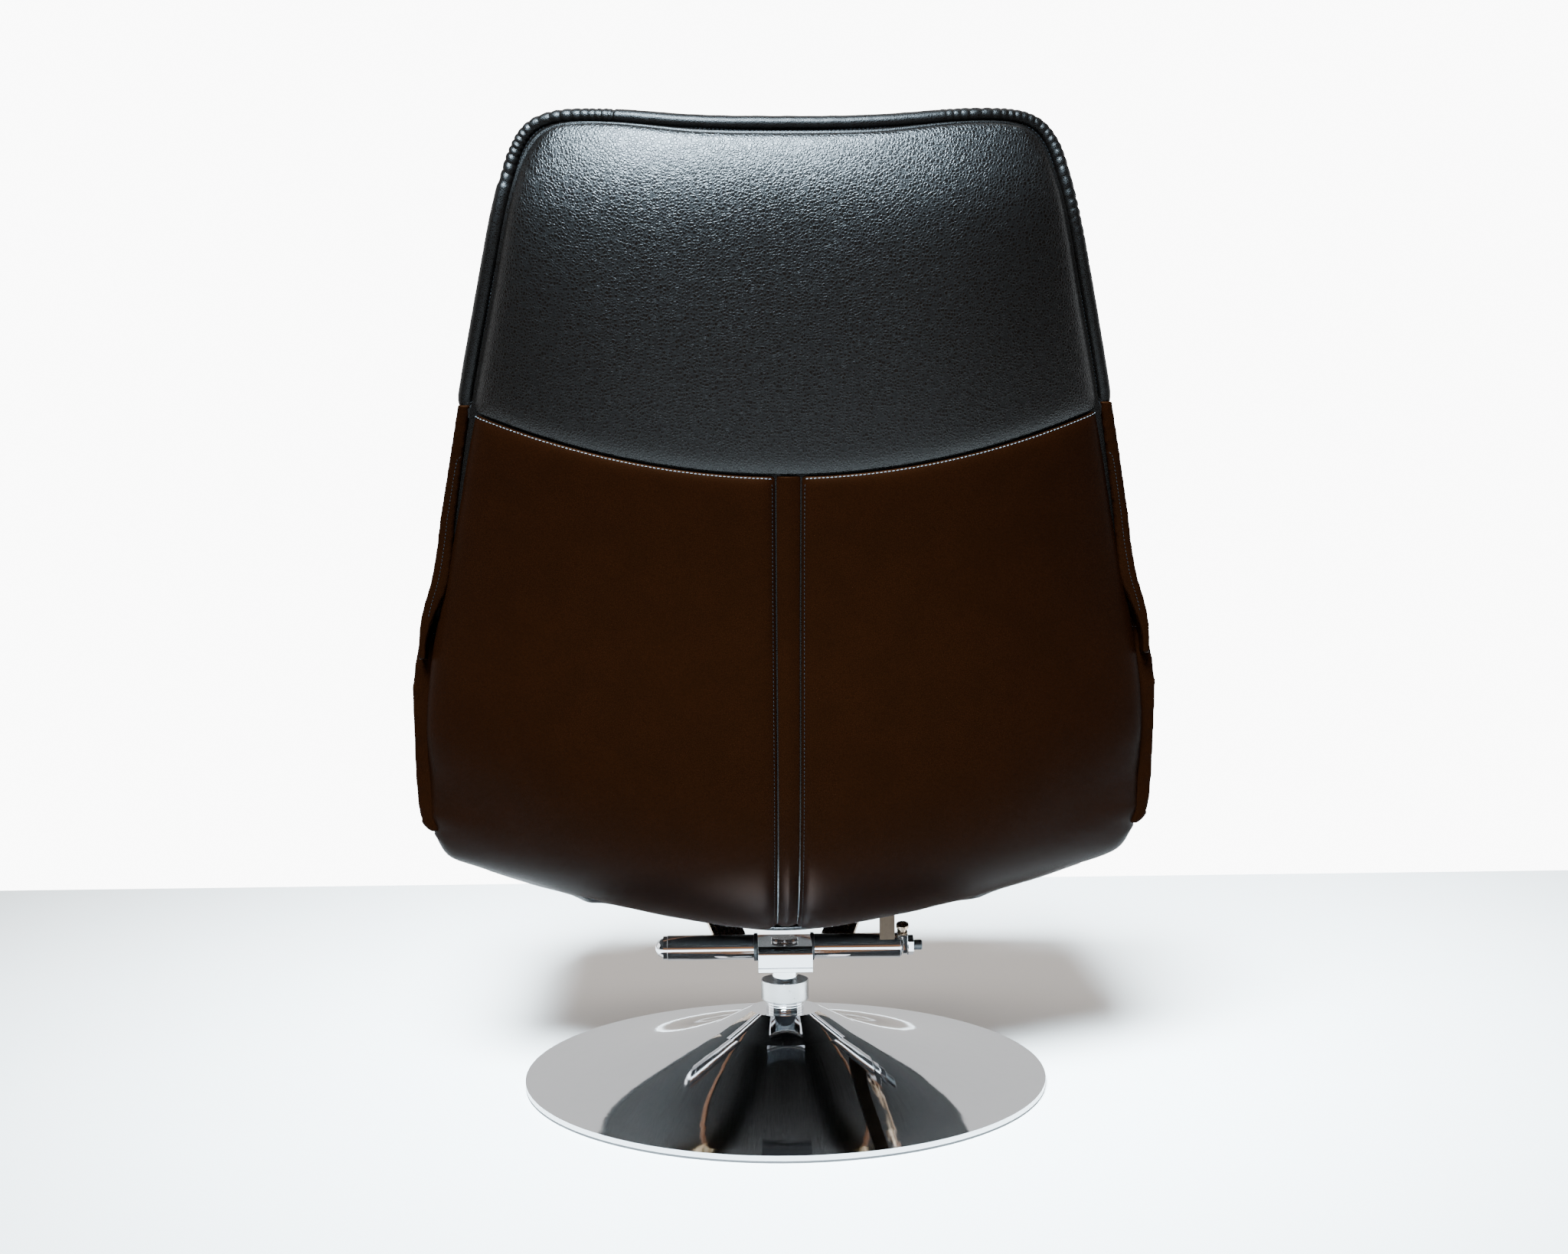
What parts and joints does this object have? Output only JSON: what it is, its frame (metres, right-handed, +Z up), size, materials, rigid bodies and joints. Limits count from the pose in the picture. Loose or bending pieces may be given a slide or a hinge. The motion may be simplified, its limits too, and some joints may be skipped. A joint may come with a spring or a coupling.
{
  "type": "swivel recliner chair",
  "caption": "High-backed padded swivel chair on a round trumpet base, with armrests, a friction tilt axle under the seat and a small brake lever.",
  "frame": {"origin": "on the floor at the swivel axis, the middle of the base's underside", "axes": "+Z up, +Y the way the sitter faces, +X to the sitter's right"},
  "size_m": [0.816, 0.7361, 1.0626],
  "materials": {
    "bright_steel": "turned",
    "bronze": "darkened bronze",
    "chrome": "mirror polish",
    "dark_steel": "satin black paint",
    "floor_pad": "matte",
    "foam": "foam",
    "lower_leather": "smooth black leather with a warm tint",
    "nylon": "black nylon",
    "plywood": "moulded beech plywood",
    "underside_leather": "brown leathercloth",
    "upper_leather": "pebbled black leather"
  },
  "bodies": {
    "base": {"base_trumpet": "chrome", "floor_plate": "floor_pad", "ballast_plate": "dark_steel", "cover_screws": "bright_steel", "pedestal_socket": "dark_steel", "foot_bolts": "bright_steel", "neck_sleeve": "chrome", "bearing_collar": "chrome", "lower_bush": "nylon", "upper_bush": "nylon", "lower_race": "bright_steel", "bearing_balls": "bright_steel", "collar_seal": "nylon"},
    "swivel": {"spindle": "chrome", "upper_race": "bright_steel", "spindle_clip": "bright_steel", "swivel_bracket": "chrome", "bracket_spacer": "bright_steel", "cap_bolt": "chrome", "tilt_axle": "bright_steel", "axle_cap": "chrome", "left_washer": "nylon", "right_washer": "nylon", "disc_spring": "bright_steel", "tension_stud": "bright_steel", "star_washer": "chrome", "tension_nut": "chrome", "stud_cap": "nylon"},
    "lever": {"brake_lever": "chrome", "lever_post": "bronze"},
    "seat": {"left_sleeve": "chrome", "left_bush": "nylon", "left_seat_iron": "dark_steel", "left_bearer": "plywood", "left_iron_screws": "bright_steel", "left_armrest": "upper_leather", "left_armrest_foam": "foam", "left_wing": "lower_leather", "right_sleeve": "chrome", "right_bush": "nylon", "right_seat_iron": "dark_steel", "right_bearer": "plywood", "right_iron_screws": "bright_steel", "right_armrest": "upper_leather", "right_armrest_foam": "foam", "right_wing": "lower_leather", "seat_strut": "dark_steel", "seat_underside": "underside_leather", "seat_shell": "plywood", "back_panel_upper": "upper_leather", "back_panel_left": "lower_leather", "back_panel_right": "lower_leather", "centre_strip": "lower_leather", "crown_piping": "upper_leather", "seat_cushion": "upper_leather", "seat_cushion_foam": "foam", "back_cushion": "upper_leather", "back_cushion_foam": "foam"}
  },
  "joints": [
    {"name": "swivel", "type": "hinge", "parent": "base", "child": "swivel", "pos_m": [0, 0, 0], "axis": [0, 0, 1], "continuous": true},
    {"name": "recline", "type": "hinge", "parent": "swivel", "child": "seat", "pos_m": [0, 0.033, 0.1465], "axis": [1, 0, 0], "range_deg": [0, 22]},
    {"name": "brake_lever", "type": "hinge", "parent": "swivel", "child": "lever", "pos_m": [0.145, 0.033, 0.1465], "axis": [1, 0, 0], "range_deg": [-40, 10]}
  ]
}
